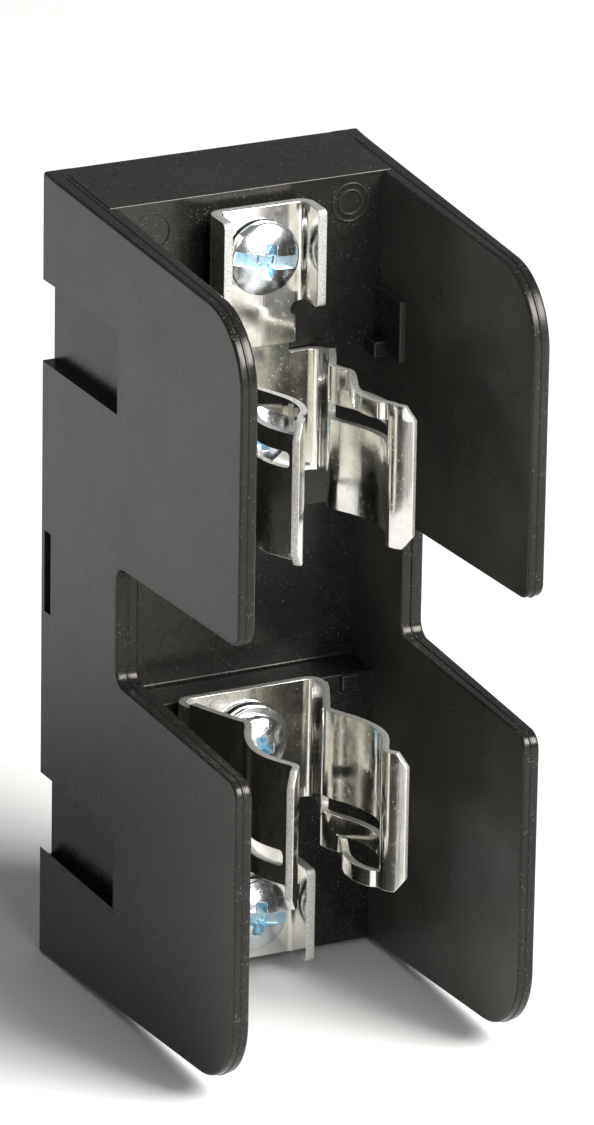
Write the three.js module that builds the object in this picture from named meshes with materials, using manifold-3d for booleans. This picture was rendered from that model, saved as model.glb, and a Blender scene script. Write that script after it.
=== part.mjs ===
// Single-pole cartridge fuse holder: a moulded body with two tall side walls, two spring clips on
// raised seats, and a screw terminal at each end.
// Units are millimetres. X is the width, -Y faces the front where the fuse goes in, +Z runs along
// the fuse. The origin is the centre of the bounding box's underside.
// "Depth" below is the distance forward of the flat back face.

import * as THREE from 'three';
import Module from 'manifold-3d';
import { mergeVertices } from 'three/addons/utils/BufferGeometryUtils.js';

const wasm = await Module();
wasm.setup();

// ---- moulded body ----
const LENGTH = 87;
const WIDTH = 35.7;
const DEPTH = 45.8;
const END_SLOPE = 0.0455;        // end faces lean in by this much per mm of depth
const OUTER_DRAFT = 0.0162;      // draft of the walls' outer faces per mm of depth
const INNER_DRAFT = 0.0087;      // draft of the walls' inner faces per mm of depth
const WALL_AT_BACK = 3.0;        // wall thickness projected to the back face
const SEAT_DEPTH = 12;           // depth of the raised seats' front faces
const WELL_DEPTH = 7;            // depth of the floor between the two seats
const WELL_LOW = 31.2;           // the lower seat ends here
const WELL_HIGH = 50.8;          // the upper seat, the longer of the two, begins here
const NOTCH_DEPTH = 18.1;        // depth where the side-wall notch begins
const NOTCH_HALF = 5.6;          // half height of the notch, projected to the back face
const NOTCH_FLARE = 0.0354;      // the notch opens by this much per mm of depth
const WING_CORNER_R = 8;         // outer corners of the four wings
const NOTCH_TIP_R = 2;           // wing corners beside the notch
const NOTCH_ROOT_R = 1.5;        // inner corners of the notch

// ---- features of the moulded body ----
const KEYWAY_LOW = 66.4;         // side keyways: lower and upper edge of the upper pair
const KEYWAY_HIGH = 75.3;
const KEYWAY_REACH = 17.8;       // how far the keyways run forward from the back face
const KEYWAY_CUT_BACK = 1.4;     // keyway depth into the wall at the back face
const KEYWAY_CUT_FRONT = 2.1;    // keyway depth into the wall at its front end
const PAD_RAISE = 0.5;           // pad inside the wall that backs each keyway
const LATCH_FROM = 0.9;          // small latch slot near the back edge of each wall
const LATCH_TO = 2.4;
const LATCH_HALF = 4.5;
const LATCH_CUT = 1.3;
const MOUNT_HOLE_R = 2.5;        // mounting screw's hole in the middle of the well's floor
const MOUNT_SINK_R = 3.5;
const MOUNT_SINK_DEPTH = 1.5;
const PAD_LOW = 67.3;
const PAD_HIGH = 74.0;
const CORNER_NUB = { width: 1.25, low: 66.9, high: 68.6, reach: 2.4 };
const EDGE_NUB = { left: 11.2, right: 12.9, height: 1.5, reach: 0.5 };

// ---- sheet metal ----
const GAP = 0.3;                 // clearance between neighbouring pieces
const CLIP_SHEET = 0.8;
const TERMINAL_SHEET = 1.0;
const CLIP_START = 11.15;        // each clip's inner end, from the middle of the holder
const CLIP_HEIGHT = 15.4;
const BASE_SETBACK = 0.5;        // the clip's base stops short of the leaves' inner ends
const BASE_SETBACK_DEPTH = 15.2;
const SLOT_LOW = 9.7;            // slot in each leaf, measured from the clip's inner end
const SLOT_HIGH = 11.4;
const STOP_LOW = 13.9;           // the end stop loop takes the last part of the leaf
const TONGUE_HALF = 4.0;         // tongue that runs on under the terminal
const TONGUE_END = 84.2;
const SHOULDER = 13.8;           // the root of each leaf ends here, short of the leaf itself
const SHOULDER_DEPTH = 17.2;
const ROOT_X = 7.7;              // outer corner of the bend between the base and a leaf
const ROOT_BEND_R = 0.7;
const FLARE_CUT_DEPTH = 1.3;     // corner chamfers of the flared tips
const FLARE_CUT_HEIGHT = 1.6;

// ---- terminals, screws and nuts ----
const TERMINAL_LOW = 70.0;
const TERMINAL_FOOT_HALF = 4.2;
const EAR_LOW = 74.7;
const TERMINAL_HIGH = 85.2;
const TERMINAL_HALF = 5.8;
const TERMINAL_BEND_R = 1.2;     // outside radius of the bend between plate and ears
const TERMINAL_CREASE_R = 0.3;   // inside radius of the same bend
const RELIEF_R = 0.85;           // bend reliefs where the ears meet the foot
const RELIEF_SHIFT = 0.2;
const RELIEF_DROP = 1.1;
const EAR_REACH = 17.9;          // depth of the ears' front edges
const TERMINAL_SCREW_Z = 79.9;
const CLIP_SCREW_Z = 60.8;
const SHANK_R = 2.05;
const HOLE_R = 2.4;
const HEAD_R = 3.95;
const HEAD_HEIGHT = 2.1;
const CLIP_HEAD_R = 3.4;
const CLIP_HEAD_HEIGHT = 2.0;
const TERMINAL_HEAD_LIFT = 0.3;  // the terminal screw's head stands just clear of its plate
const HEAD_PROFILE = [[1, 0.45], [0.86, 0.8], [0.5, 1]];   // radius and height, as parts of the head's
const DRIVE_WIDTH = 1.3;         // width of the cross recess and of the slot
const DRIVE_DEPTH = 1.1;
const DRIVE_TURN = 10;           // degrees clockwise, seen from the front
const CROSS_SPAN = 4.4;
const CLIP_CROSS_SPAN = 3.2;
const SCREW_TIP_DEPTH = 1.6;
const SCREW_TIP_TAPER = 0.75;
const SCREW_TIP_LENGTH = 0.5;
const WASHER_R = 4.1;
const WASHER_THICK = 0.9;
const NUT_FLATS = 8.7;
const NUT_FACE_DEPTH = 0.6;      // depth of the nuts' rear faces
const NUT_THICK = 3.2;

const MID = LENGTH / 2;
const OVERSHOOT = 1;             // cutters and joined blocks run this far past the face they meet
const ROUND_SIDES = 28;
const HEX_SIDES = 6;
const CORNER_STEPS = 7;
const BEND_STEPS = 4;
const MERGE_DISTANCE = 1e-4;
const MITRE_FLOOR = 0.5;         // limits how far a sharp bend stretches the sheet's outer face

// ---- colours ----
const MOULDED_BLACK = { color: 0x1b1b1c, roughness: 0.48, metalness: 0.0 };
const TIN_PLATE = { color: 0xc9c6bb, roughness: 0.24, metalness: 1.0 };
const ZINC_PLATE = { color: 0xb9c4cc, roughness: 0.3, metalness: 1.0 };
const STEEL_NUT = { color: 0xa9adb0, roughness: 0.38, metalness: 1.0 };

// Depth from the back face to the Y coordinate.
function yAt(depth) {
  return DEPTH / 2 - depth;
}

function toSolid(geometry) {
  const bare = new THREE.BufferGeometry();
  bare.setAttribute('position', geometry.getAttribute('position'));
  if (geometry.index) bare.setIndex(geometry.index);
  const merged = mergeVertices(bare, MERGE_DISTANCE);
  return new wasm.Manifold(new wasm.Mesh({
    numProp: 3,
    vertProperties: new Float32Array(merged.getAttribute('position').array),
    triVerts: new Uint32Array(merged.index.array),
  }));
}

function toGeometry(solid) {
  const mesh = solid.getMesh();
  const corners = new Float32Array(mesh.vertProperties);
  const triangles = new Uint32Array(mesh.triVerts);
  const geometry = new THREE.BufferGeometry();
  geometry.setAttribute('position', new THREE.BufferAttribute(corners, 3));
  geometry.setIndex(new THREE.BufferAttribute(triangles, 1));
  geometry.computeVertexNormals();
  return geometry;
}

function extrude(outline, thickness) {
  const shape = new THREE.Shape(outline.map(([u, v]) => new THREE.Vector2(u, v)));
  return new THREE.ExtrudeGeometry(shape, { depth: thickness, bevelEnabled: false });
}

// Outline in (x, depth), pulled along Z.
function prismAlongZ(outline, low, high) {
  const geometry = extrude(outline.map(([x, depth]) => [x, yAt(depth)]), high - low);
  geometry.translate(0, 0, low);
  return toSolid(geometry);
}

// Outline in (depth, z), pulled along X.
function prismAlongX(outline, left, right) {
  const geometry = extrude(outline.map(([depth, z]) => [yAt(depth), z]), right - left);
  geometry.applyMatrix4(new THREE.Matrix4().set(
    0, 0, 1, left,
    1, 0, 0, 0,
    0, 1, 0, 0,
    0, 0, 0, 1,
  ));
  return toSolid(geometry);
}

function block(left, right, back, front, low, high) {
  const geometry = new THREE.BoxGeometry(right - left, front - back, high - low);
  geometry.translate((left + right) / 2, yAt((back + front) / 2), (low + high) / 2);
  return toSolid(geometry);
}

// Round bar along the depth direction.
function rod(x, z, radius, back, front, sides = ROUND_SIDES) {
  const geometry = new THREE.CylinderGeometry(radius, radius, front - back, sides);
  geometry.translate(x, yAt((back + front) / 2), z);
  return toSolid(geometry);
}

// Replaces the corners of an outline by arcs; each point is [u, v, radius].
function rounded(points, steps) {
  const outline = [];
  points.forEach(([u, v, radius = 0], i) => {
    if (radius === 0) {
      outline.push([u, v]);
      return;
    }
    const corner = new THREE.Vector2(u, v);
    const before = points[(i + points.length - 1) % points.length];
    const after = points[(i + 1) % points.length];
    const toBefore = new THREE.Vector2(before[0], before[1]).sub(corner).normalize();
    const toAfter = new THREE.Vector2(after[0], after[1]).sub(corner).normalize();
    const halfAngle = Math.acos(toBefore.dot(toAfter)) / 2;
    const bisector = toBefore.clone().add(toAfter).normalize();
    const centre = corner.clone().addScaledVector(bisector, radius / Math.sin(halfAngle));
    const reach = radius / Math.tan(halfAngle);
    const start = corner.clone().addScaledVector(toBefore, reach).sub(centre);
    const end = corner.clone().addScaledVector(toAfter, reach).sub(centre);
    const turn = Math.atan2(start.cross(end), start.dot(end));
    for (let k = 0; k <= steps; k += 1) {
      const arm = start.clone().rotateAround(new THREE.Vector2(), (turn * k) / steps);
      outline.push([centre.x + arm.x, centre.y + arm.y]);
    }
  });
  return outline;
}

// Band of constant thickness on the left-hand side of an open path in (x, depth).
function band(path, thickness) {
  const points = path.map(([x, depth]) => new THREE.Vector2(x, depth));
  const offset = points.map((point, i) => {
    const before = points[Math.max(i - 1, 0)];
    const after = points[Math.min(i + 1, points.length - 1)];
    const inDir = point.clone().sub(before).normalize();
    const outDir = after.clone().sub(point).normalize();
    const tangent = inDir.add(outDir).normalize();
    const segment = i === 0 ? after.clone().sub(point) : point.clone().sub(before);
    segment.normalize();
    const normal = new THREE.Vector2(-tangent.y, tangent.x);
    const lean = normal.dot(new THREE.Vector2(-segment.y, segment.x));
    return point.clone().addScaledVector(normal, thickness / Math.max(lean, MITRE_FLOOR));
  });
  return [...points, ...offset.reverse()].map((point) => [point.x, point.y]);
}

// Smooths an open path through its points.
function smooth(path, steps) {
  const points = path.map(([x, depth]) => new THREE.Vector3(x, depth, 0));
  const curve = new THREE.CatmullRomCurve3(points);
  return curve.getPoints(steps).map((point) => [point.x, point.y]);
}

function mirrorX(solid) {
  return solid.mirror([1, 0, 0]);
}

// Upper-half part to its lower-half twin.
function mirrorZ(solid) {
  return solid.mirror([0, 0, 1]).translate([0, 0, LENGTH]);
}

function union(solids) {
  return solids.reduce((sum, solid) => sum.add(solid));
}

function wallInner(depth) {
  return WIDTH / 2 - WALL_AT_BACK + INNER_DRAFT * depth;
}

function wallOuter(depth) {
  return WIDTH / 2 - OUTER_DRAFT * depth;
}

// ---- moulded body ----

function sideOutline() {
  const low = END_SLOPE * DEPTH;
  const notchAt = (depth) => NOTCH_HALF + NOTCH_FLARE * depth;
  return rounded([
    [0, 0],
    [DEPTH, low, WING_CORNER_R],
    [DEPTH, MID - notchAt(DEPTH), NOTCH_TIP_R],
    [NOTCH_DEPTH, MID - notchAt(NOTCH_DEPTH), NOTCH_ROOT_R],
    [NOTCH_DEPTH, MID + notchAt(NOTCH_DEPTH), NOTCH_ROOT_R],
    [DEPTH, MID + notchAt(DEPTH), NOTCH_TIP_R],
    [DEPTH, LENGTH - low, WING_CORNER_R],
    [0, LENGTH],
  ], CORNER_STEPS);
}

function channelOutline() {
  return [
    [-wallOuter(0), 0],
    [wallOuter(0), 0],
    [wallOuter(DEPTH), DEPTH],
    [wallInner(DEPTH), DEPTH],
    [wallInner(SEAT_DEPTH), SEAT_DEPTH],
    [-wallInner(SEAT_DEPTH), SEAT_DEPTH],
    [-wallInner(DEPTH), DEPTH],
    [-wallOuter(DEPTH), DEPTH],
  ];
}

// Keyway in the right-hand wall's outer face, open to the back and a little deeper at its front end.
function keyway() {
  const edge = WIDTH / 2 + OVERSHOOT;
  return prismAlongZ([
    [edge, -OVERSHOOT],
    [edge, KEYWAY_REACH],
    [WIDTH / 2 - KEYWAY_CUT_FRONT, KEYWAY_REACH],
    [WIDTH / 2 - KEYWAY_CUT_BACK, -OVERSHOOT],
  ], KEYWAY_LOW, KEYWAY_HIGH);
}

// Pad on the inside of the right-hand wall, and the nub in the corner beside it.
function wallPads() {
  const padLeft = wallInner(0) - PAD_RAISE;
  const nubLeft = wallInner(SEAT_DEPTH) - PAD_RAISE - CORNER_NUB.width;
  const back = SEAT_DEPTH - OVERSHOOT;
  const inWall = wallInner(0) + OVERSHOOT;
  const pad = block(padLeft, inWall, back, KEYWAY_REACH, PAD_LOW, PAD_HIGH);
  const nub = block(nubLeft, inWall, back, SEAT_DEPTH + CORNER_NUB.reach,
    CORNER_NUB.low, CORNER_NUB.high);
  return pad.add(nub);
}

// Holes for the two screws of one end, each with a hexagonal pocket for its nut in the back.
function screwHoles() {
  const pocketR = (NUT_FLATS / 2 + GAP) / Math.cos(Math.PI / HEX_SIDES);
  const pocketFloor = NUT_FACE_DEPTH + NUT_THICK + GAP;
  return union([TERMINAL_SCREW_Z, CLIP_SCREW_Z].flatMap((z) => [
    rod(0, z, HOLE_R, -OVERSHOOT, SEAT_DEPTH + OVERSHOOT),
    rod(0, z, pocketR, -OVERSHOOT, pocketFloor, HEX_SIDES),
  ]));
}

function mountingHole() {
  const z = (WELL_LOW + WELL_HIGH) / 2;
  const front = WELL_DEPTH + OVERSHOOT;
  return rod(0, z, MOUNT_HOLE_R, -OVERSHOOT, front)
    .add(rod(0, z, MOUNT_SINK_R, WELL_DEPTH - MOUNT_SINK_DEPTH, front));
}

function body() {
  const insideX = wallInner(WELL_DEPTH);
  let solid = prismAlongZ(channelOutline(), 0, LENGTH)
    .intersect(prismAlongX(sideOutline(), -WIDTH, WIDTH))
    .subtract(block(-insideX, insideX, WELL_DEPTH, NOTCH_DEPTH, WELL_LOW, WELL_HIGH));
  const holes = screwHoles();
  const latch = block(WIDTH / 2 - LATCH_CUT, WIDTH / 2 + OVERSHOOT, LATCH_FROM, LATCH_TO,
    MID - LATCH_HALF, MID + LATCH_HALF);
  const edgeNub = block(EDGE_NUB.left, EDGE_NUB.right, SEAT_DEPTH - OVERSHOOT,
    SEAT_DEPTH + EDGE_NUB.reach, WELL_LOW - EDGE_NUB.height, WELL_LOW);
  const sides = [(part) => part, mirrorX];
  for (const toSide of sides) {
    const pads = toSide(wallPads());
    const key = toSide(keyway());
    solid = solid.add(pads).add(mirrorZ(pads)).add(toSide(edgeNub));
    solid = solid.subtract(key).subtract(mirrorZ(key)).subtract(toSide(latch));
  }
  return solid.subtract(holes).subtract(mirrorZ(holes)).subtract(mountingHole());
}

// ---- spring clip ----

const CLIP_BACK = SEAT_DEPTH + GAP;
const CLIP_FRONT = CLIP_BACK + CLIP_SHEET;
// Inner face of a leaf in (x, depth), from its root on the seat to the flared tip.
const LEAF_PATH = [[7.25, 15.1], [6.45, 17.2], [5.5, 19.3], [4.65, 21.1], [4.2, 22.1], [4.6, 23.5],
  [5.5, 25.2], [6.25, 27.2], [6.6, 29.2], [6.4, 31.0], [5.75, 32.6], [4.95, 34.1], [4.8, 34.9],
  [5.25, 35.8], [6.25, 36.9]];
// Inner face of the end stop loop, which joins the leaf at both of its ends.
const STOP_PATH = [[4.65, 21.1], [4.2, 22.1], [4.4, 23.4], [4.4, 24.7], [4.0, 26.2], [3.45, 27.8],
  [3.15, 29.5], [3.15, 31.3], [3.6, 33.0], [4.8, 34.9]];
const LEAF_STEPS = 22;
const STOP_STEPS = 12;
const SLOT_FROM = 20.6;
const WINDOW_FROM = 22.4;
const WINDOW_TO = 33.4;

function leaf() {
  const bend = rounded([[0, CLIP_FRONT], [ROOT_X, CLIP_FRONT, ROOT_BEND_R], LEAF_PATH[0]], BEND_STEPS);
  const path = [...bend.slice(0, -1), ...smooth(LEAF_PATH, LEAF_STEPS)];
  const sheet = band(path.reverse(), CLIP_SHEET);
  const loop = band(smooth(STOP_PATH, STOP_STEPS).reverse(), CLIP_SHEET);
  const outside = WIDTH / 2;
  const top = CLIP_HEIGHT + OVERSHOOT;
  const slot = block(0, outside, SLOT_FROM, WINDOW_TO, SLOT_LOW, SLOT_HIGH);
  const window = block(0, outside, WINDOW_FROM, WINDOW_TO, STOP_LOW, top);
  const shoulder = block(-OVERSHOOT, outside, 0, SHOULDER_DEPTH, SHOULDER, top);
  const setback = block(-OVERSHOOT, outside, 0, BASE_SETBACK_DEPTH, -OVERSHOOT, BASE_SETBACK);
  return prismAlongZ(sheet, 0, CLIP_HEIGHT)
    .subtract(union([slot, window, shoulder, setback]))
    .add(prismAlongZ(loop, STOP_LOW, CLIP_HEIGHT));
}

// Wedge that chamfers the flared tips at height z; inward is +1 at the lower corner, -1 at the upper.
function tipChamfer(z, inward) {
  const tip = LEAF_PATH[LEAF_PATH.length - 1][1];
  const outerZ = z - inward * FLARE_CUT_HEIGHT;
  return prismAlongX([
    [tip - 2 * FLARE_CUT_DEPTH, outerZ],
    [tip + FLARE_CUT_DEPTH, outerZ],
    [tip + FLARE_CUT_DEPTH, z + inward * 2 * FLARE_CUT_HEIGHT],
  ], -WIDTH, WIDTH);
}

// Upper clip; its inner end faces the middle of the holder.
function clip() {
  const low = MID + CLIP_START;
  const right = leaf().subtract(tipChamfer(0, 1)).subtract(tipChamfer(CLIP_HEIGHT, -1));
  const tongue = block(-TONGUE_HALF, TONGUE_HALF, CLIP_BACK, CLIP_FRONT,
    low + SHOULDER - OVERSHOOT, TONGUE_END);
  const holes = [CLIP_SCREW_Z, TERMINAL_SCREW_Z].map((z) => (
    rod(0, z, HOLE_R, 0, CLIP_FRONT + OVERSHOOT)
  ));
  return right.add(mirrorX(right))
    .translate([0, 0, low])
    .add(tongue)
    .subtract(union(holes));
}

// ---- terminal ----

const PLATE_BACK = CLIP_FRONT + GAP;
const PLATE_FRONT = PLATE_BACK + TERMINAL_SHEET;

function terminal() {
  const inner = TERMINAL_HALF - TERMINAL_SHEET;
  const foot = TERMINAL_FOOT_HALF;
  const channel = prismAlongZ(rounded([
    [-TERMINAL_HALF, PLATE_BACK, TERMINAL_BEND_R],
    [TERMINAL_HALF, PLATE_BACK, TERMINAL_BEND_R],
    [TERMINAL_HALF, EAR_REACH],
    [inner, EAR_REACH],
    [inner, PLATE_FRONT, TERMINAL_CREASE_R],
    [-inner, PLATE_FRONT, TERMINAL_CREASE_R],
    [-inner, EAR_REACH],
    [-TERMINAL_HALF, EAR_REACH],
  ], BEND_STEPS), EAR_LOW, TERMINAL_HIGH);
  const plate = block(-foot, foot, PLATE_BACK, PLATE_FRONT, TERMINAL_LOW, EAR_LOW + OVERSHOOT);
  const front = PLATE_FRONT + OVERSHOOT;
  const reliefX = foot + RELIEF_SHIFT;
  const reliefZ = EAR_LOW - RELIEF_DROP;
  return channel.add(plate).subtract(union([
    rod(0, TERMINAL_SCREW_Z, HOLE_R, 0, front),
    rod(-reliefX, reliefZ, RELIEF_R, 0, front),
    rod(reliefX, reliefZ, RELIEF_R, 0, front),
  ]));
}

// ---- screws, washers and nuts ----

function screw(z, seatDepth, headRadius, headHeight, drive) {
  const tip = SCREW_TIP_DEPTH - seatDepth;
  const profile = [
    [0, tip],
    [SHANK_R * SCREW_TIP_TAPER, tip],
    [SHANK_R, tip + SCREW_TIP_LENGTH],
    [SHANK_R, 0],
    [headRadius, 0],
    ...HEAD_PROFILE.map(([r, h]) => [headRadius * r, headHeight * h]),
    [0, headHeight],
  ];
  const points = profile.map(([r, h]) => new THREE.Vector2(r, h));
  const geometry = new THREE.LatheGeometry(points, ROUND_SIDES);
  geometry.rotateX(Math.PI);
  geometry.translate(0, yAt(seatDepth), z);
  return toSolid(geometry).subtract(drive.translate([0, -seatDepth - headHeight, z]));
}

// Cross recess below a head's top at depth 0, with or without a slot right across the head.
function driveTool(crossSpan, slotReach, turn) {
  const half = DRIVE_WIDTH / 2;
  const across = Math.max(crossSpan / 2, slotReach);
  return block(-across, across, -DRIVE_DEPTH, OVERSHOOT, -half, half)
    .add(block(-half, half, -DRIVE_DEPTH, OVERSHOOT, -crossSpan / 2, crossSpan / 2))
    .rotate([0, turn, 0]);
}

function washer(z, back) {
  const front = back + WASHER_THICK;
  return rod(0, z, WASHER_R, back, front)
    .subtract(rod(0, z, HOLE_R, back - OVERSHOOT, front + OVERSHOOT));
}

function nut(z) {
  const cornerR = NUT_FLATS / 2 / Math.cos(Math.PI / HEX_SIDES);
  return rod(0, z, cornerR, NUT_FACE_DEPTH, NUT_FACE_DEPTH + NUT_THICK, HEX_SIDES)
    .subtract(rod(0, z, HOLE_R, -OVERSHOOT, SEAT_DEPTH));
}

// ---- assembly ----

const root = new THREE.Group();
root.name = 'cartridge_fuse_holder';

function add(name, solid, look) {
  const mesh = new THREE.Mesh(toGeometry(solid), new THREE.MeshStandardMaterial(look));
  mesh.name = name;
  root.add(mesh);
}

add('body', body(), MOULDED_BLACK);

const TERMINAL_HEAD_SEAT = PLATE_FRONT + TERMINAL_HEAD_LIFT;
const WASHER_BACK = CLIP_FRONT + GAP;
const CLIP_HEAD_SEAT = WASHER_BACK + WASHER_THICK + GAP;
const slotted = driveTool(CROSS_SPAN, HEAD_R + OVERSHOOT, DRIVE_TURN);
const crossOnly = driveTool(CLIP_CROSS_SPAN, 0, 0);
const terminalScrew = screw(TERMINAL_SCREW_Z, TERMINAL_HEAD_SEAT, HEAD_R, HEAD_HEIGHT, slotted);
const clipScrew = screw(CLIP_SCREW_Z, CLIP_HEAD_SEAT, CLIP_HEAD_R, CLIP_HEAD_HEIGHT, crossOnly);
const upperParts = [
  ['clip', clip(), TIN_PLATE],
  ['terminal', terminal(), TIN_PLATE],
  ['terminal_screw', terminalScrew, ZINC_PLATE],
  ['clip_washer', washer(CLIP_SCREW_Z, WASHER_BACK), ZINC_PLATE],
  ['clip_screw', clipScrew, ZINC_PLATE],
  ['terminal_nut', nut(TERMINAL_SCREW_Z), STEEL_NUT],
  ['clip_nut', nut(CLIP_SCREW_Z), STEEL_NUT],
];
for (const [name, solid, look] of upperParts) {
  add(`upper_${name}`, solid, look);
  add(`lower_${name}`, mirrorX(mirrorZ(solid)), look);   // the same part, turned half round
}

export default root;
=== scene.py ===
"""Cartridge fuse holder: a moulded body, two spring clips, and a screw terminal at each end.

Shapes are worked out in millimetres and turned into metres when a piece is finished.
"Depth" is the distance forward of the body's flat back face.
"""

import math

import bmesh
import bpy
import numpy as np
from mathutils import Matrix, Vector


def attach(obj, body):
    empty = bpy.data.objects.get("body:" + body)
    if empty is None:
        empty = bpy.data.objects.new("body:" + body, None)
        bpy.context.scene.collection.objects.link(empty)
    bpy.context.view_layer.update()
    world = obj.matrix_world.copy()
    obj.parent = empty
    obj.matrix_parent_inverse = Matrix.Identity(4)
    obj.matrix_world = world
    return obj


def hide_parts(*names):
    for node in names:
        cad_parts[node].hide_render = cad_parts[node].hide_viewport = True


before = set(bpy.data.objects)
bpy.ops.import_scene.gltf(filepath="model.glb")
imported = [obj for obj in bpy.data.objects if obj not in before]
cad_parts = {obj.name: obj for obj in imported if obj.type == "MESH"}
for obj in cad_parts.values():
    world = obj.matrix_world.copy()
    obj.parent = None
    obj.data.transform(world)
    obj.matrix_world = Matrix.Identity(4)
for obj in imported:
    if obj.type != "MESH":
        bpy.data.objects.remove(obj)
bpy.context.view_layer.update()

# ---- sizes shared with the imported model, in millimetres ----
LENGTH = 87.0
HALF_WIDTH = 17.85
DEPTH = 45.8
MID = LENGTH / 2
HALF_DEPTH = DEPTH / 2
END_SLOPE = 0.0455
OUTER_DRAFT = 0.0162
INNER_DRAFT = 0.0087
WALL_AT_BACK = 3.0
SEAT_DEPTH = 12.0
WELL_DEPTH = 7.0
WELL_LOW = 31.2
WELL_HIGH = 50.8
NOTCH_DEPTH = 18.1
NOTCH_HALF = 5.6
NOTCH_FLARE = 0.0354
KEYWAY_LOW, KEYWAY_HIGH = 66.4, 75.3
SILL_LIFT = 0.45
KEYWAY_REACH = 17.8
KEYWAY_CUT_BACK, KEYWAY_CUT_FRONT = 1.4, 2.1
CLIP_FRONT = 13.1
CLIP_SHEET = 0.8
CLIP_LOW = MID + 11.15
CLIP_HEIGHT = 15.4
PLATE_FRONT = 14.4
TERMINAL_SHEET = 1.0
TERMINAL_SCREW_Z = 79.9
CLIP_SCREW_Z = 60.8
SHANK_R = 2.05
HOLE_R = 2.4
NUT_FLATS = 8.7
NUT_BACK, NUT_FRONT = 0.6, 3.8
TO_METRES = 0.001


# ---- mesh helpers ----

def unit(v):
    return v / np.maximum(np.linalg.norm(v, axis=-1, keepdims=True), 1e-12)


def smoothstep(low, high, value):
    t = np.clip((value - low) / (high - low), 0.0, 1.0)
    return t * t * (3 - 2 * t)


def rounded(points, steps):
    """Replaces the corners of an outline by arcs; each point is (u, v, radius)."""
    outline = []
    count = len(points)
    for i, (u, v, radius) in enumerate(points):
        corner = np.array([u, v], float)
        if radius == 0:
            outline.append(corner)
            continue
        before = unit(np.array(points[i - 1][:2]) - corner)
        after = unit(np.array(points[(i + 1) % count][:2]) - corner)
        half = math.acos(float(np.clip(before @ after, -1, 1))) / 2
        centre = corner + unit(before + after) * (radius / math.sin(half))
        start = corner + before * (radius / math.tan(half)) - centre
        end = corner + after * (radius / math.tan(half)) - centre
        turn = math.atan2(start[0] * end[1] - start[1] * end[0], float(start @ end))
        for k in range(steps + 1):
            c, s = math.cos(turn * k / steps), math.sin(turn * k / steps)
            outline.append(centre + np.array([c * start[0] - s * start[1],
                                              s * start[0] + c * start[1]]))
    return np.array(outline)


def inset(outline, distance):
    """Moves every point of a closed outline into the shape by its own distance."""
    before = unit(outline - np.roll(outline, 1, 0))
    after = unit(np.roll(outline, -1, 0) - outline)
    area = np.sum(outline[:, 0] * np.roll(outline[:, 1], -1)
                  - outline[:, 1] * np.roll(outline[:, 0], -1))
    turn = np.array([[0, 1], [-1, 0]]) * np.sign(area)
    n_before, n_after = before @ turn, after @ turn
    mean = unit(n_before + n_after)
    stretch = 1 / np.maximum(np.sum(mean * n_before, axis=1), 0.3)
    return outline + mean * (stretch * distance)[:, None]


def to_row(x, depth, z):
    return (x, HALF_DEPTH - depth, z)


def new_object(name, bm):
    bmesh.ops.recalc_face_normals(bm, faces=bm.faces)
    mesh = bpy.data.meshes.new(name)
    bm.to_mesh(mesh)
    bm.free()
    obj = bpy.data.objects.new(name, mesh)
    bpy.context.scene.collection.objects.link(obj)
    return obj


def skin(name, rings, closed=True):
    """Closed solid through a list of rings of points; the first and last rings are filled."""
    bm = bmesh.new()
    made = [[bm.verts.new(p) for p in ring] for ring in rings]
    count = len(made[0])
    for low, high in zip(made, made[1:]):
        for i in range(count):
            j = (i + 1) % count
            bm.faces.new((low[i], low[j], high[j], high[i]))
    if closed:
        bm.faces.new(made[0])
        bm.faces.new(made[-1])
    else:
        for i in range(count):
            j = (i + 1) % count
            bm.faces.new((made[-1][i], made[-1][j], made[0][j], made[0][i]))
    return new_object(name, bm)


def prism_x(name, outline, left, right):
    """Outline in (depth, z), pulled along X."""
    return skin(name, [[to_row(x, d, z) for d, z in outline] for x in (left, right)])


def block(name, left, right, back, front, low, high):
    return prism_x(name, [(back, low), (front, low), (front, high), (back, high)], left, right)


def soft_block(left, right, back, front, low, high, width=0.18):
    """Block with a small bevel on every edge."""
    piece = block("block", left, right, back, front, low, high)
    soften(piece, width, lambda edge: True)
    return piece


def lathe(name, profile, x, z, sides, turn=0.0):
    """Solid of revolution about the depth direction; the profile is (radius, depth)."""
    rings = []
    for radius, depth in profile:
        rings.append([to_row(x + radius * math.cos(turn + 2 * math.pi * k / sides), depth,
                             z + radius * math.sin(turn + 2 * math.pi * k / sides))
                      for k in range(sides)])
    return skin(name, rings)


def disc(name, x, z, radius, back, front, sides=64, turn=0.0):
    return lathe(name, [(radius, back), (radius, front)], x, z, sides, turn)


def ring(name, x, z, inner, outer, back, front, soft=0.05, sides=96):
    """Flat ring whose front corners are softened."""
    rings = []
    for radius, depth in ((inner, back), (outer, back), (outer, front - soft),
                          (outer - soft, front), (inner + soft, front), (inner, front - soft)):
        rings.append([to_row(x + radius * math.cos(2 * math.pi * k / sides), depth,
                             z + radius * math.sin(2 * math.pi * k / sides))
                      for k in range(sides)])
    return skin(name, rings, closed=False)


def mirrored(obj, axis):
    """Copy of a piece mirrored left to right ("x") or top to bottom ("z")."""
    other = obj.copy()
    other.data = obj.data.copy()
    bpy.context.scene.collection.objects.link(other)
    if axis == "x":
        flip = Matrix.Scale(-1, 4, (1, 0, 0))
    else:
        flip = Matrix.Translation((0, 0, LENGTH)) @ Matrix.Scale(-1, 4, (0, 0, 1))
    other.data.transform(flip)
    other.data.flip_normals()
    return other


def half_turned(obj):
    """The same part at the other end: turned half round about the middle of the body."""
    other = mirrored(obj, "z")
    flip = Matrix.Scale(-1, 4, (1, 0, 0))
    other.data.transform(flip)
    other.data.flip_normals()
    return other


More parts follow.
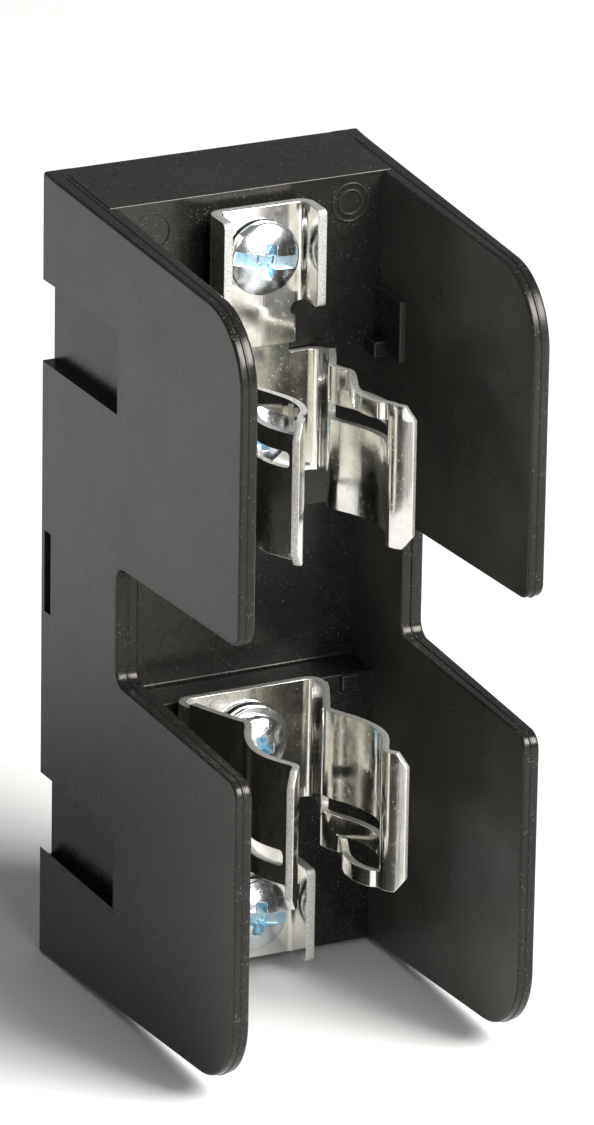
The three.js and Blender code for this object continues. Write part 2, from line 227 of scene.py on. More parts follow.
def joined(objects):
    bm = bmesh.new()
    for obj in objects:
        bm.from_mesh(obj.data)
        bpy.data.objects.remove(obj)
    return new_object("joined", bm)


def combine(target, tool, operation):
    modifier = target.modifiers.new("combine", "BOOLEAN")
    modifier.operation = operation
    modifier.solver = "MANIFOLD"
    modifier.object = tool
    graph = bpy.context.evaluated_depsgraph_get()
    mesh = bpy.data.meshes.new_from_object(target.evaluated_get(graph))
    target.modifiers.clear()
    target.data = mesh
    bpy.data.objects.remove(tool)
    return target


def soften(obj, width, chosen, segments=2):
    """Bevels the edges for which chosen(edge) is true."""
    bm = bmesh.new()
    bm.from_mesh(obj.data)
    bmesh.ops.dissolve_limit(bm, angle_limit=0.002, verts=bm.verts, edges=bm.edges)
    edges = [e for e in bm.edges if len(e.link_faces) == 2 and chosen(e)]
    bmesh.ops.bevel(bm, geom=edges, offset=width, segments=segments, profile=0.5,
                    affect="EDGES", clamp_overlap=False)
    bm.to_mesh(obj.data)
    bm.free()


def faces_sideways(face):
    return abs(face.normal.x) > 0.9995


def shade(obj, sharp_angle, flat_sides=False):
    """Smooth shading with creases where faces meet at more than the given angle."""
    bm = bmesh.new()
    bm.from_mesh(obj.data)
    bmesh.ops.remove_doubles(bm, verts=bm.verts, dist=1e-4)
    for face in bm.faces:
        face.smooth = True
    for edge in bm.edges:
        edge.smooth = len(edge.link_faces) == 2 and edge.calc_face_angle(0) < sharp_angle
        if flat_sides and len({faces_sideways(face) for face in edge.link_faces}) == 2:
            edge.smooth = False
    bm.to_mesh(obj.data)
    bm.free()
    modifier = obj.modifiers.new("normals", "WEIGHTED_NORMAL")
    modifier.keep_sharp = True


def finished(obj, name, body, nodes, materials):
    """Turns a piece into metres, hangs it on its body and gives it its materials."""
    obj.data.transform(Matrix.Scale(TO_METRES, 4))
    obj.name = name
    obj.data.name = name
    places = [face.material_index for face in obj.data.polygons]
    obj.data.materials.clear()
    for material in materials:
        obj.data.materials.append(material)
    obj.data.polygons.foreach_set("material_index", places)
    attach(obj, body)
    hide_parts(*nodes)
    return obj


# ---- materials ----

class Nodes:
    """Short way to build a material's node tree."""

    def __init__(self, name):
        self.material = bpy.data.materials.new(name)
        self.material.use_nodes = True
        self.tree = self.material.node_tree
        self.surface = self.tree.nodes["Principled BSDF"]
        self.place = self.tree.nodes.new("ShaderNodeTexCoord").outputs["Object"]

    def link(self, source, target):
        self.tree.links.new(source, target)
        return target

    def stretched(self, scale):
        node = self.tree.nodes.new("ShaderNodeMapping")
        node.inputs["Scale"].default_value = scale
        self.link(self.place, node.inputs["Vector"])
        return node.outputs["Vector"]

    def noise(self, scale, detail=3.0, roughness=0.5, place=None):
        node = self.tree.nodes.new("ShaderNodeTexNoise")
        node.inputs["Scale"].default_value = scale
        node.inputs["Detail"].default_value = detail
        node.inputs["Roughness"].default_value = roughness
        self.link(place or self.place, node.inputs["Vector"])
        return node.outputs["Fac"]

    def cells(self, scale, place=None):
        node = self.tree.nodes.new("ShaderNodeTexVoronoi")
        node.inputs["Scale"].default_value = scale
        self.link(place or self.place, node.inputs["Vector"])
        return node.outputs["Distance"]

    def remap(self, value, low, high, to_low, to_high):
        node = self.tree.nodes.new("ShaderNodeMapRange")
        for key, number in (("From Min", low), ("From Max", high),
                            ("To Min", to_low), ("To Max", to_high)):
            node.inputs[key].default_value = number
        self.link(value, node.inputs["Value"])
        return node.outputs["Result"]

    def math(self, operation, a, b):
        node = self.tree.nodes.new("ShaderNodeMath")
        node.operation = operation
        for socket, value in zip(node.inputs, (a, b)):
            if isinstance(value, float):
                socket.default_value = value
            else:
                self.link(value, socket)
        return node.outputs["Value"]

    def mix(self, factor, a, b):
        node = self.tree.nodes.new("ShaderNodeMix")
        node.data_type = "RGBA"
        self.link(factor, node.inputs["Factor"])
        for key, value in ((6, a), (7, b)):
            if isinstance(value, tuple):
                node.inputs[key].default_value = (*value, 1.0)
            else:
                self.link(value, node.inputs[key])
        return node.outputs[2]

    def bump(self, height, strength, distance, under=None):
        node = self.tree.nodes.new("ShaderNodeBump")
        node.inputs["Strength"].default_value = strength
        node.inputs["Distance"].default_value = distance
        self.link(height, node.inputs["Height"])
        if under is not None:
            self.link(under, node.inputs["Normal"])
        return node.outputs["Normal"]

    def set(self, key, value):
        socket = self.surface.inputs[key]
        if hasattr(value, "is_linked"):
            self.link(value, socket)
        else:
            socket.default_value = value


def moulded_black(name, rough_low, rough_high, pale=1.0, ior=1.46, scuffs=False):
    """Black plastic with a faint warm haze, dust specks and, on worn edges, pale scuffs. A pale
    above 1 lightens the base colour to paint in highlights and reflections.
    """
    n = Nodes(name)
    cloud = n.remap(n.noise(70, 5, 0.62), 0.4, 0.74, 0.0, 0.7)
    haze = n.math("ADD", cloud, n.remap(n.noise(2600, 2, 0.7), 0.4, 0.65, 0.0, 0.45))
    specks = n.remap(n.cells(2500), 0.25, 0.08, 0.0, 1.0)
    patches = n.remap(n.noise(520, 3, 0.6), 0.46, 0.62, 0.0, 1.0)
    dust = n.math("MULTIPLY", specks, patches)
    base = n.mix(haze, tuple(pale * c for c in (0.0088, 0.0084, 0.0078)),
                 tuple(pale * c for c in (0.0205, 0.0194, 0.0172)))
    n.set("Base Color", n.mix(dust, base, (0.14, 0.133, 0.12)))
    grain = n.noise(3600, 3, 0.65)
    rough = n.remap(n.noise(160, 4, 0.65), 0.3, 0.7, rough_low, rough_high)
    rough = n.math("ADD", rough, n.math("MULTIPLY", dust, 0.3))
    peel = n.bump(n.noise(900, 2, 0.5), 0.25, 0.00003)
    normal = n.bump(grain, 0.5, 0.00002, peel)
    if scuffs:
        lines = n.remap(n.noise(1.0, 3, 0.6, n.stretched((2600, 1500, 190))), 0.58, 0.7, 0.0, 1.0)
        worn = n.math("MULTIPLY", lines, n.remap(n.noise(110, 2, 0.5), 0.46, 0.6, 0.0, 1.0))
        rough = n.math("ADD", rough, n.math("MULTIPLY", worn, 0.22))
        normal = n.bump(worn, 0.9, 0.00002, normal)
    n.set("Roughness", rough)
    n.set("Normal", normal)
    n.set("IOR", ior)
    n.set("Specular Tint", (1.0, 0.96, 0.9, 1.0))
    return n.material


def plated(name, colour, worn, rough_low, rough_high, grain_place, grain_depth, cloud=260):
    """Plated metal: cloudy tint and gloss, tiny pits, gentle waves and a fine grain."""
    n = Nodes(name)
    streaks = n.noise(1.0, 4, 0.6, n.stretched(grain_place))
    clouds = n.noise(cloud, 4, 0.6)
    n.set("Base Color", n.mix(n.remap(clouds, 0.35, 0.7, 0.0, 1.0), colour, worn))
    n.set("Metallic", 1.0)
    pits = n.remap(n.cells(1300), 0.14, 0.05, 0.0, 0.2)
    spots = n.remap(n.noise(1400, 3, 0.6), 0.55, 0.75, 0.0, 0.14)
    rough = n.math("ADD", n.remap(clouds, 0.3, 0.7, rough_low, rough_high), spots)
    n.set("Roughness", n.math("ADD", rough, pits))
    waves = n.bump(n.noise(240, 2, 0.4), 0.4, 0.00006)
    dents = n.bump(pits, 0.3, 0.00002, waves)
    n.set("Normal", n.bump(streaks, 0.3, grain_depth, dents))
    return n.material


def sheared_edge(name, colour):
    """Broken metal along the cut edges of the sheet: a rough, sparkling grain."""
    n = Nodes(name)
    grit = n.noise(4200, 4, 0.75)
    n.set("Base Color", n.mix(n.remap(grit, 0.38, 0.62, 0.0, 1.0),
                              tuple(c * 0.6 for c in colour), colour))
    n.set("Metallic", 0.7)
    n.set("Roughness", n.remap(n.noise(2600, 3, 0.6), 0.3, 0.7, 0.3, 0.5))
    n.set("Normal", n.bump(grit, 0.7, 0.0001))
    return n.material


black = moulded_black("moulded_black", 0.22, 0.32)
black_edge = moulded_black("moulded_black_edge", 0.16, 0.3, ior=1.36, scuffs=True)
# Paler copy of the black for edge bevels: a painted highlight along those edges
black_painted_edge_highlight = moulded_black("moulded_black_painted_edge_highlight", 0.26, 0.36, pale=3.0)
# Paler copy of the black for the inner wall faces: a painted reflection of the lit clips and front
# light
black_inner_painted_reflection = moulded_black("moulded_black_inner_painted_reflection", 0.26, 0.4, pale=3.4)
tin = plated("tin_plate", (0.84, 0.83, 0.785), (0.66, 0.645, 0.59), 0.07, 0.2,
             (3200, 3200, 160), 0.00001)
tin_edge = sheared_edge("tin_plate_edge", (0.86, 0.85, 0.81))
zinc = plated("zinc_plate", (0.87, 0.89, 0.91), (0.76, 0.81, 0.86), 0.14, 0.26,
              (3600, 3600, 3600), 0.00005)
zinc_blue = plated("zinc_plate_blue", (0.7, 0.84, 0.92), (0.27, 0.56, 0.72), 0.22, 0.36,
                   (2500, 2500, 2500), 0.00004, 700)
steel = plated("nut_steel", (0.62, 0.63, 0.64), (0.5, 0.5, 0.5), 0.26, 0.4,
               (2200, 2200, 400), 0.00001)


# ---- moulded body ----

def wall_inner(depth):
    return HALF_WIDTH - WALL_AT_BACK + INNER_DRAFT * depth


def wall_outer(depth):
    return HALF_WIDTH - OUTER_DRAFT * depth


def side_wall():
    """Right-hand wall with rounded edges and a fine parting ridge along them."""
    low = END_SLOPE * DEPTH

    def notch(depth):
        return NOTCH_HALF + NOTCH_FLARE * depth
    corners = rounded([
        (0, 0, 0.45),
        (DEPTH, low, 8.0),
        (DEPTH, MID - notch(DEPTH), 2.0),
        (NOTCH_DEPTH, MID - notch(NOTCH_DEPTH), 1.5),
        (NOTCH_DEPTH, MID + notch(NOTCH_DEPTH), 1.5),
        (DEPTH, MID + notch(DEPTH), 2.0),
        (DEPTH, LENGTH - low, 8.0),
        (0, LENGTH, 0.45),
    ], 16)
    outline = []
    for here, after in zip(corners, np.roll(corners, -1, 0)):
        outline.append(here)
        run = after[0] - here[0]
        stops = [d for d in np.arange(0.6, 3.2, 0.4) if 0.0 < (d - here[0]) / (run or 1) < 0.95]
        if abs(run) > 1.0:
            outline += [here + (after - here) * (d - here[0]) / run
                        for d in sorted(stops, reverse=bool(run < 0))]
    outline = np.array(outline)
    forward = smoothstep(0.6, 3.0, outline[:, 0])
    ridge = 0.11 * forward
    inner_r = 0.02 + 0.28 * forward
    outer_r = 0.3
    arc = [math.pi / 2 * k / 6 for k in range(7)]
    rings = []

    def put(offset, place):
        moved = inset(outline, offset)
        rings.append([to_row(x, d, z) for x, (d, z) in zip(place(moved[:, 0]), moved)])

    for angle in arc:
        put(ridge + inner_r * (1 - math.sin(angle)),
            lambda d, a=angle: wall_inner(d) + inner_r * (1 - math.cos(a)))
    for across, lift in ((-0.17, 0), (-0.05, 1), (0.05, 1), (0.17, 0)):
        put(ridge * (1 - lift),
            lambda d, a=across: (wall_inner(d) + inner_r + wall_outer(d) - outer_r) / 2 + a)
    for angle in reversed(arc):
        put(ridge + outer_r * (1 - math.sin(angle)),
            lambda d, a=angle: wall_outer(d) - outer_r * (1 - math.cos(a)))
    return skin("wall", rings)


def floor_block():
    """Both seats and the floor of the well between them."""
    slack = 0.03
    top = SEAT_DEPTH * END_SLOPE + slack
    outline = rounded([
        (slack, slack, 0.4),
        (SEAT_DEPTH, top, 0.14),
        (SEAT_DEPTH, WELL_LOW, 0.12),
        (WELL_DEPTH, WELL_LOW, 0.4),
        (WELL_DEPTH, WELL_HIGH, 0.4),
        (SEAT_DEPTH, WELL_HIGH, 0.12),
        (SEAT_DEPTH, LENGTH - top, 0.14),
        (slack, LENGTH - slack, 0.4),
    ], 5)
    reach = wall_inner(0) + 1.0
    return prism_x("floor", outline, -reach, reach)


def moulded_body():
    wall = side_wall()
    body = combine(floor_block(), mirrored(wall, "x"), "UNION")
    body = combine(body, wall, "UNION")
    inner = wall_inner(SEAT_DEPTH)
    pad = soft_block(wall_inner(0) - 0.5, 16.5, 11, KEYWAY_REACH, 67.3, 74.0)
    nub = soft_block(inner - 1.75, inner - 0.2, 11, 14.4, 66.9, 68.6)
    edge_nub = soft_block(11.2, 12.9, 11, 12.5, WELL_LOW - 1.5, WELL_LOW - 0.05)
    sill = LENGTH - KEYWAY_HIGH + SILL_LIFT
    rib = skin("rib", [[to_row(x, d, sill - drop) for x, d in (
        (wall_inner(0) + 1, 5.0), (wall_outer(5.0) + lift, 5.0),
        (wall_outer(KEYWAY_REACH) + lift, KEYWAY_REACH), (wall_inner(0) + 1, KEYWAY_REACH))]
        for drop, lift in ((0.9, 0.0), (0.84, 0.07), (0.76, 0.07), (0.7, 0.0), (0.4, 0.0),
                           (0.34, 0.07), (0.26, 0.07), (0.2, 0.0))])
    ribs = [rib, mirrored(rib, "x")]
    raised = [pad, mirrored(pad, "x"), nub, mirrored(nub, "x"), edge_nub, mirrored(edge_nub, "x")]
    raised += [mirrored(part, "z") for part in raised[:4]]
    body = combine(body, joined(raised[0:2] + raised[6:8]), "UNION")
    body = combine(body, joined(raised[2:6] + raised[8:10]), "UNION")
    marks = [ring("mark", 11.3, 83.4, 1.9, 2.14, 11.5, 12.16, 0.08),
             ring("mark", 11.3, 83.4, 1.18, 1.4, 11.5, 12.16, 0.08)]
    body = combine(body, joined(marks), "UNION")
    body = combine(body, joined(ribs), "UNION")
    edge = HALF_WIDTH + 1
    keys = [skin("key", [[to_row(x, d, z + undercut * (HALF_WIDTH - x)) for x, d in (
        (edge, -1), (edge, KEYWAY_REACH), (HALF_WIDTH - KEYWAY_CUT_FRONT, KEYWAY_REACH),
        (HALF_WIDTH - KEYWAY_CUT_BACK, -1))] for z, undercut in ends])
        for ends in (((KEYWAY_LOW, 0.0), (KEYWAY_HIGH, 0.8)),
                     ((sill, -0.8), (LENGTH - KEYWAY_LOW, 0.0)))]
    latch = block("latch", HALF_WIDTH - 1.3, edge, 0.9, 2.4, MID - 4.5, MID + 4.5)
    cuts = keys + [mirrored(key, "x") for key in keys] + [latch, mirrored(latch, "x")]
    pocket_r = (NUT_FLATS / 2 + 0.3) / math.cos(math.pi / 6)
    for z in (TERMINAL_SCREW_Z, CLIP_SCREW_Z):
        hole = lathe("hole", [(pocket_r, -1), (pocket_r, 4.1)], 0, z, 6)
        shaft = disc("shaft", 0, z, HOLE_R, 4.0, 13)
        cuts += [hole, mirrored(hole, "z"), shaft, mirrored(shaft, "z")]
    middle = (WELL_LOW + WELL_HIGH) / 2
    cuts.append(lathe("mount", [(2.5, -1), (2.5, 5.5), (3.5, 5.5), (3.5, 8)], 0, middle, 64))
    shafts = [c for c in cuts if c.name.startswith("shaft") or c.name.startswith("mount")]
    others = [c for c in cuts if c not in shafts]
    body = combine(body, joined(others), "DIFFERENCE")
    body = combine(body, joined(shafts), "DIFFERENCE")
    pins = ((-11.1, 83.2), (8.4, 70.6), (11.3, 4.0), (-11.3, 4.0))
    sunk = [disc("pin", x, z, 1.9, 11.92, 13) for x, z in pins]
    lips = [ring("lip", x, z, 1.96, 2.1, 11.8, 12.06, 0.03) for x, z in pins]
    body = combine(body, joined(sunk), "DIFFERENCE")
    body = combine(body, joined(lips), "UNION")
    shade(body, math.radians(32), flat_sides=True)
    for face in body.data.polygons:
        depth = HALF_DEPTH - face.center.y
        within = wall_inner(depth) + 0.05 < abs(face.center.x) < wall_outer(depth) - 0.05
        slanted = max(abs(c) for c in face.normal) < 0.97
        if within and depth > KEYWAY_REACH + 0.1:
            face.material_index = 1
        # bevels of pads, nubs, rings and lips, and the rib lips outside the wall, get the paler
        # copy: painted edge highlight
        elif slanted and SEAT_DEPTH + 0.02 < depth and abs(face.center.x) < wall_inner(depth):
            face.material_index = 2
        elif abs(face.center.x) > wall_outer(depth) + 0.01:
            face.material_index = 2
        # inner wall faces get the paler copy: painted reflection
        elif depth > SEAT_DEPTH and -0.6 < face.center.x - wall_inner(depth) < 0.03:
            face.material_index = 3
    return body


finished(moulded_body(), "moulded_body", "holder", ["body"],
         [black, black_edge, black_painted_edge_highlight, black_inner_painted_reflection])


# ---- sheet-metal parts ----

class Bend:
    """A sheet's inner face in (x, depth) by distance along it, with the outward normal."""

    def __init__(self, points, spacing=0.05, blur=5):
        points = np.array(points, float)
        run = np.concatenate([[0], np.cumsum(np.linalg.norm(np.diff(points, axis=0), axis=1))])
        self.s = np.arange(0, run[-1], spacing)
        self.s = np.append(self.s, run[-1])
        line = np.stack([np.interp(self.s, run, points[:, k]) for k in (0, 1)], 1)
        kernel = np.hanning(2 * blur + 1)[1:-1]
        kernel /= kernel.sum()
        pad = len(kernel) // 2
        head = 2 * line[0] - line[pad:0:-1]
        tail = 2 * line[-1] - line[-2:-pad - 2:-1]
        full = np.concatenate([head, line, tail])
        self.line = np.stack([np.convolve(full[:, k], kernel, "valid") for k in (0, 1)], 1)
        steps = np.linalg.norm(np.diff(self.line, axis=0), axis=1)
        self.s = np.concatenate([[0], np.cumsum(steps)])
        tangent = unit(np.gradient(self.line, axis=0))
        self.normal = np.stack([tangent[:, 1], -tangent[:, 0]], 1)

    @property
    def length(self):
        return float(self.s[-1])

    def at(self, s):
        line = [np.interp(s, self.s, self.line[:, k]) for k in (0, 1)]
        normal = np.array([np.interp(s, self.s, self.normal[:, k]) for k in (0, 1)])
        return line, normal / np.linalg.norm(normal, axis=0)

    def reach(self, depth, start=0.0):
        """Distance along the sheet at which it first gets to a depth, past the start."""
        past = np.where((self.line[:, 1] >= depth) & (self.s >= start))[0]
        return float(self.s[past[0]])


def catmull(points, steps=12):
    points = np.array(points, float)
    padded = np.concatenate([[2 * points[0] - points[1]], points, [2 * points[-1] - points[-2]]])
    out = []
    for i in range(1, len(padded) - 2):
        a, b, c, d = padded[i - 1:i + 3]
        for k in range(steps):
            t = k / steps
            out.append(0.5 * (2 * b + (c - a) * t + (2 * a - 5 * b + 4 * c - d) * t * t
                              + (3 * b - a - 3 * c + d) * t ** 3))
    out.append(points[-1])
    return out


def flat_sheet(outline, cutters, thickness):
    """Flat blank in (s, z) with holes; the sheet's thickness runs along the third axis."""
    blank = skin("blank", [[(s, z, t) for s, z in outline] for t in (0.0, thickness)])
    for cutter in cutters:
        tool = skin("cut", [[(s, z, t) for s, z in cutter] for t in (-1.0, thickness + 1.0)])
        blank = combine(blank, tool, "DIFFERENCE")
    return blank


def rim(edge):
    """True for an edge between a face of the sheet and its cut side."""
    lean = sorted(abs(face.normal.z) for face in edge.link_faces)
    return lean[0] < 0.1 and lean[1] > 0.9


def bent(name, blank, stations, place):
    """Slices the blank at every station and moves its points onto the bent shape."""
    bm = bmesh.new()
    bm.from_mesh(blank.data)
    for s in stations:
        geometry = bm.verts[:] + bm.edges[:] + bm.faces[:]
        bmesh.ops.bisect_plane(bm, geom=geometry, plane_co=(s, 0, 0), plane_no=(1, 0, 0),
                               dist=1e-4)
    bm.normal_update()
    for face in bm.faces:
        face.material_index = 0 if abs(face.normal.z) > 0.85 else 1
    flat = np.array([v.co for v in bm.verts])
    for vert, point in zip(bm.verts, place(flat)):
        vert.co = point
    bmesh.ops.recalc_face_normals(bm, faces=bm.faces)
    bm.to_mesh(blank.data)
    bm.free()
    blank.name = name
    shade(blank, math.radians(50))
    return blank


LEAF = catmull([(7.25, 15.1), (6.45, 17.2), (5.5, 19.3), (4.65, 21.1), (4.2, 22.1), (4.6, 23.5),
                (5.5, 25.2), (6.25, 27.2), (6.6, 29.2), (6.4, 31.0), (5.75, 32.6), (4.95, 34.1),
                (4.8, 34.9), (5.2, 35.75), (6.4, 37.1)])
LOOP = catmull([(4.65, 21.1), (4.2, 22.1), (4.6, 23.5), (5.0, 24.4), (4.7, 25.6), (4.05, 27.2),
                (3.4, 28.9), (3.15, 30.5), (3.25, 32.0), (3.75, 33.4), (4.8, 34.9)])
LOOP_FROM, LOOP_TO = 24.2, 34.6
SLIT = 13.5


def both_sides(right_half):
    """Outline through the right half's points and their mirror images."""
    left_half = [(-s, z, r) for s, z, r in reversed(right_half)]
    return right_half + left_half


def spring_clip():
    base = [(x, CLIP_FRONT) for x in np.linspace(0, 6.8, 18)]
    corner = [(p[0], p[1]) for p in rounded(
        [(0, CLIP_FRONT, 0), (7.7, CLIP_FRONT, 0.8), (7.25, 15.1, 0)], 8)[1:-1]]
    leaf = Bend(base + corner + LEAF)
    loop = Bend(LOOP)
    loop_from, loop_to = leaf.reach(LOOP_FROM), leaf.reach(LOOP_TO)
    loop_start, loop_end = loop.reach(LOOP_FROM), loop.reach(LOOP_TO)
    tip = leaf.length
    step_in, step_out = leaf.reach(15.2), leaf.reach(17.2)
    tongue_top = 84.2 - CLIP_LOW
    right = [
        (step_in, 0.5, 0.15), (step_in, 0.0, 0.3), (tip - 1.15, 0.0, 0.4), (tip, 1.5, 0.4),
        (tip, CLIP_HEIGHT - 1.5, 0.4), (tip - 1.15, CLIP_HEIGHT, 0.4),
        (step_out, CLIP_HEIGHT, 0.35), (step_out, 13.8, 0.3), (4.0, 13.8, 0.3),
        (4.0, tongue_top, 0.4)]
    outline = rounded(both_sides(right), 6)
    cutters = []
    slot_from, slot_to = leaf.reach(20.6), leaf.reach(33.4)
    for side in (-1, 1):
        for s0, s1, z0, z1, r in ((slot_from, slot_to, 9.7, 11.4, 0.45),
                                  (loop_from, loop_to, SLIT - 0.04, SLIT + 0.04, 0.0)):
            cutters.append(rounded([(side * s0, z0, r), (side * s1, z0, r),
                                    (side * s1, z1, r), (side * s0, z1, r)], 5))
    for z in (CLIP_SCREW_Z, TERMINAL_SCREW_Z):
        cutters.append([(HOLE_R * math.cos(2 * math.pi * k / 48),
                         z - CLIP_LOW + HOLE_R * math.sin(2 * math.pi * k / 48))
                        for k in range(48)])
    blank = flat_sheet(outline, cutters, CLIP_SHEET)
    soften(blank, 0.07, rim)

    def place(flat):
        s, z, t = flat.T
        side = np.sign(s)
        s = np.abs(s)
        (x, d), (nx, nd) = leaf.at(s)
        along = np.clip((s - loop_from) / (loop_to - loop_from), 0, 1)
        (lx, ld), (mx, md) = loop.at(loop_start + along * (loop_end - loop_start))
        lifted = (z > SLIT) & (s > loop_from) & (s < loop_to)
        blend = np.where(lifted, smoothstep(0, 0.08, along) * smoothstep(1, 0.92, along), 0)
        x, d = x + blend * (lx - x), d + blend * (ld - d)
        nx, nd = nx + blend * (mx - nx), nd + blend * (md - nd)
        return np.stack([side * (x + nx * t), HALF_DEPTH - (d + nd * t), z + CLIP_LOW], 1)

    stations = np.arange(6.2, tip, 0.32)
    return bent("clip", blank, [side * s for s in stations for side in (-1, 1)], place)


def terminal():
    inner, bend, front = 4.8, 0.5, 17.9
    path = [(x, PLATE_FRONT) for x in np.linspace(0, 4.0, 12)]
    path += [tuple(p) for p in rounded(
        [(0, PLATE_FRONT, 0), (inner, PLATE_FRONT, bend), (inner, front, 0)], 8)[1:-1]]
    path += [(inner, d) for d in np.linspace(PLATE_FRONT + 0.8, front, 8)]
    sheet = Bend(path, blur=3)
    tip = sheet.length
    ear = sheet.reach(PLATE_FRONT + 0.3)
    right = [(4.2, 70.0, 0.25), (4.2, 74.3, 0.0), (ear, 74.7, 0.2), (tip, 74.7, 0.6),
             (tip, 85.2, 0.6)]
    outline = rounded(both_sides(right), 6)
    cutters = []
    for x, z, r in ((0, TERMINAL_SCREW_Z, HOLE_R), (-4.4, 73.6, 0.85), (4.4, 73.6, 0.85)):
        cutters.append([(x + r * math.cos(2 * math.pi * k / 40),
                         z + r * math.sin(2 * math.pi * k / 40)) for k in range(40)])
    blank = flat_sheet(outline, cutters, TERMINAL_SHEET)
    soften(blank, 0.09, rim)

    def place(flat):
        s, z, t = flat.T
        (x, d), (nx, nd) = sheet.at(np.abs(s))
        return np.stack([np.sign(s) * (x + nx * t), HALF_DEPTH - (d + nd * t), z], 1)

    stations = np.arange(3.9, 6.2, 0.12)
    return bent("terminal", blank, [side * s for s in stations for side in (-1, 1)], place)


# ---- screws, washers and nuts ----

def threaded(profile, z, sides=72, pitch=0.79, tooth=0.26):
    """Rings of a screw; a profile entry is (radius, depth, threaded)."""
    rings = []
    for radius, depth, has_thread in profile:
        points = []
        for k in range(sides):
            angle = 2 * math.pi * k / sides
            phase = (depth / pitch + k / sides) % 1
            cut = tooth * has_thread * min(1.0, 2.6 * abs(phase - 0.5))
            points.append(to_row((radius - cut) * math.cos(angle), depth,
                                 z + (radius - cut) * math.sin(angle)))
        rings.append(points)
    return rings


def screw(z, seat, head_r, head_h, slot, wing, wing_reach, turn):
    """Domed screw with a cross recess and, where slot is not zero, a slot across it."""
    tip = 1.6
    profile = [(1.4, tip, 0), (1.75, tip + 0.35, 0)]
    turns = np.arange(tip + 0.5, seat - 0.8, 0.79 / 8)
    profile += [(SHANK_R, d, min(1.0, (d - tip) / 1.2)) for d in turns]
    profile += [(1.85, seat - 0.3, 0), (1.9, seat, 0), (head_r - 0.06, seat, 0),
                (head_r, seat + 0.06, 0)]
    rim_h = 0.36 * head_h
    rise = head_h - rim_h
    sphere = (head_r ** 2 + rise ** 2) / (2 * rise)

    def dome(radius):
        return seat + head_h - sphere + math.sqrt(sphere ** 2 - radius ** 2)

    profile.append((head_r, seat + rim_h - 0.15, 0))
    profile.append((head_r - 0.04, seat + rim_h - 0.04, 0))
    profile += [(r, dome(r), 0) for r in np.linspace(head_r - 0.12, 0.03, 22)]
    body = skin("screw", threaded(profile, z))
    top = seat + head_h
    cross = []
    for depth, reach, wide in ((top - 1.35, 0.75, 0.4), (top + 0.05, wing_reach, wing / 2)):
        cross.append([to_row(x, depth, h) for x, h in (
            (-wide, -reach), (wide, -reach), (wide, -wide), (reach, -wide), (reach, wide),
            (wide, wide), (wide, reach), (-wide, reach), (-wide, wide), (-reach, wide),
            (-reach, -wide), (-wide, -wide))])
    tools = [skin("cross", cross)]
    if slot:
        tools.append(block("slot", -head_r - 1, head_r + 1, top - 1.15, top + 1,
                           -slot / 2, slot / 2))
    for tool in tools:
        tool.data.transform(Matrix.Translation((0, 0, z)) @ Matrix.Rotation(turn, 4, "Y"))
        body = combine(body, tool, "DIFFERENCE")
    soften(body, 0.07, lambda e: e.calc_face_angle(0) > 0.5 and all(
        HALF_DEPTH - v.co.y > seat + 0.35 for v in e.verts))
    shade(body, math.radians(40))
    for face in body.data.polygons:
        radius = math.hypot(face.center.x, face.center.z - z)
        depth = HALF_DEPTH - face.center.y
        face.material_index = int(radius < head_r - 0.2 and seat < depth < dome(radius) - 0.12)
    return body


def washer(z):
    back, front, inner, outer, soft = 13.45, 14.45, 2.4, 4.08, 0.07
    profile = [(inner, back + soft), (inner + soft, back), (outer - soft, back),
               (outer, back + soft), (outer, front - soft), (outer - soft, front),
               (inner + soft, front), (inner, front - soft)]
    rings = [[to_row(r * math.cos(2 * math.pi * k / 64), d, z + r * math.sin(2 * math.pi * k / 64))
              for k in range(64)] for r, d in profile]
    piece = skin("washer", rings, closed=False)
    shade(piece, math.radians(50))
    return piece


def nut(z):
    corner = NUT_FLATS / 2 / math.cos(math.pi / 6)
    piece = lathe("nut", [(corner, NUT_BACK), (corner, NUT_FRONT)], 0, z, 6)
    soft = corner - NUT_FLATS / 2
    cone = lathe("cone", [(NUT_FLATS / 2 - 0.1, NUT_BACK - 0.01),
                          (corner + 0.1, NUT_BACK + 0.6 * soft + 0.1),
                          (corner + 0.1, NUT_FRONT - 0.6 * soft - 0.1),
                          (NUT_FLATS / 2 - 0.1, NUT_FRONT + 0.01)], 0, z, 72)
    piece = combine(piece, cone, "INTERSECT")
    profile = [(2.75, NUT_BACK - 0.1, 0), (2.4, NUT_BACK + 0.25, 0)]
    profile += [(2.4, d, 0.5) for d in np.arange(NUT_BACK + 0.3, NUT_FRONT - 0.25, 0.1)]
    profile += [(2.4, NUT_FRONT - 0.25, 0), (2.75, NUT_FRONT + 0.1, 0)]
    piece = combine(piece, skin("bore", threaded(profile, z)), "DIFFERENCE")
    shade(piece, math.radians(35))
    return piece


upper = [
    ("clip", spring_clip(), "holder", "tin_plate", [tin, tin_edge]),
    ("terminal", terminal(), "holder", "tin_plate", [tin, tin_edge]),
    ("terminal_screw", screw(TERMINAL_SCREW_Z, 14.7, 3.93, 2.1, 1.4, 1.3, 2.2,
                             math.radians(10)), "upper_screw", "zinc_plate", [zinc, zinc_blue]),
    ("clip_washer", washer(CLIP_SCREW_Z), "holder", "zinc_plate", [zinc]),
    ("clip_screw", screw(CLIP_SCREW_Z, 14.48, 3.38, 2.12, 0, 1.1, 1.6, 0.0),
     "holder", "zinc_plate", [zinc, zinc_blue]),
    ("terminal_nut", nut(TERMINAL_SCREW_Z), "holder", "nut_steel", [steel]),
    ("clip_nut", nut(CLIP_SCREW_Z), "holder", "nut_steel", [steel]),
]
for kind, piece, body, slot, materials in upper:
    lower = half_turned(piece)
    finished(piece, f"top_{kind}", body, [f"upper_{kind}"], materials)
    finished(lower, f"bottom_{kind}", body.replace("upper", "lower"), [f"lower_{kind}"],
             materials)


# ---- floor, light and camera ----

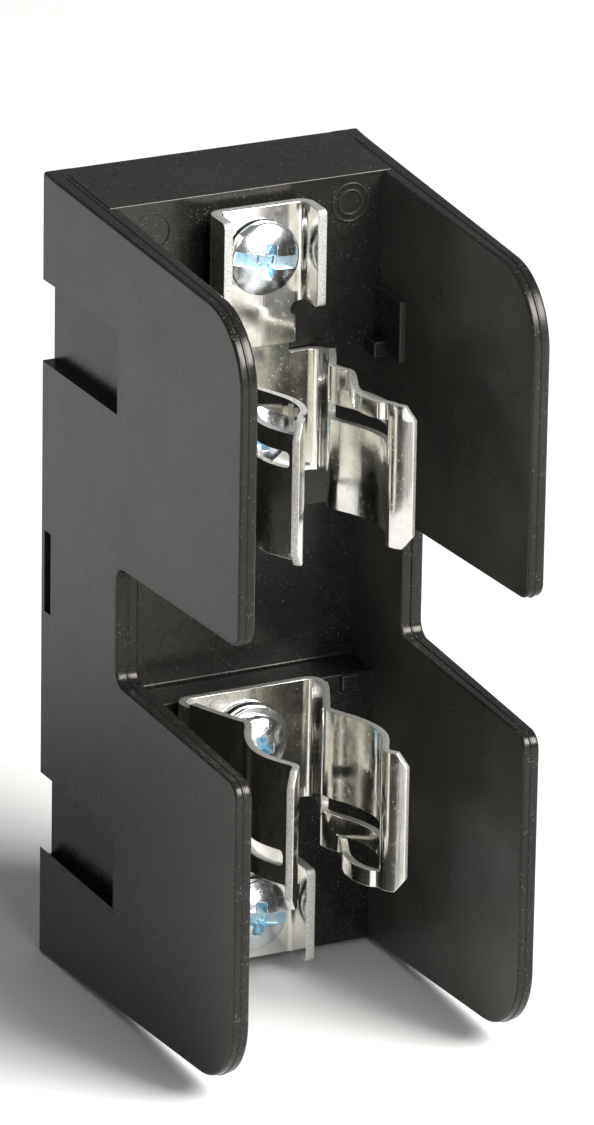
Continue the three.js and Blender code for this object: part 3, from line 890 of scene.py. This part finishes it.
def stage():
    bm = bmesh.new()
    bmesh.ops.create_grid(bm, x_segments=2, y_segments=2, size=6.0)
    floor = new_object("floor", bm)
    n = Nodes("floor_paper")
    n.set("Base Color", n.mix(n.noise(30, 2), (0.86, 0.86, 0.86), (0.9, 0.9, 0.895)))
    n.set("Roughness", 0.9)
    n.set("Specular IOR Level", 0.1)
    floor.data.materials.append(n.material)


def area_light(name, place, target, size, power, colour=(1, 1, 1)):
    light = bpy.data.lights.new(name, "AREA")
    light.shape = "RECTANGLE"
    light.size, light.size_y = size
    light.energy = power
    light.color = colour
    obj = bpy.data.objects.new(name, light)
    bpy.context.scene.collection.objects.link(obj)
    obj.location = place
    aim = Vector(target) - Vector(place)
    obj.rotation_mode = "QUATERNION"
    obj.rotation_quaternion = aim.to_track_quat("-Z", "Y")


def lights():
    world = bpy.data.worlds.new("studio")
    bpy.context.scene.world = world
    world.use_nodes = True
    background = world.node_tree.nodes["Background"]
    background.inputs["Color"].default_value = (1.0, 0.992, 0.98, 1)
    background.inputs["Strength"].default_value = 0.2
    middle = (0, 0, 0.045)
    area_light("key", (0.85, -1.15, 1.28), middle, (0.95, 0.95), 66.0, (1.0, 0.99, 0.97))
    area_light("front", (0.08, -1.05, 0.48), middle, (0.75, 0.5), 4.8, (0.97, 0.985, 1.0))


def camera():
    azimuth, elevation, roll = (math.radians(a) for a in (26.31, 21.27, 0.957))
    back = Vector((-math.sin(azimuth) * math.cos(elevation),
                   -math.cos(azimuth) * math.cos(elevation), math.sin(elevation)))
    right = Vector((math.cos(azimuth), -math.sin(azimuth), 0))
    up = back.cross(right)
    level_x = math.cos(roll) * right + math.sin(roll) * up
    level_y = math.cos(roll) * up - math.sin(roll) * right
    data = bpy.data.cameras.new("camera")
    data.sensor_width = 36.0
    data.lens = 286.7
    data.clip_start, data.clip_end = 0.05, 50.0
    eye = bpy.data.objects.new("camera", data)
    bpy.context.scene.collection.objects.link(eye)
    aim = Vector((0, HALF_DEPTH, MID)) + LENGTH * (0.1216 * level_x - 0.024 * level_y)
    place = (aim + LENGTH * 10.778 * back) * TO_METRES
    turn = Matrix((level_x, level_y, back)).transposed().to_4x4()
    eye.matrix_world = Matrix.Translation(place) @ turn
    bpy.context.scene.camera = eye


stage()
lights()
camera()
bpy.context.scene.view_settings.view_transform = "Standard"
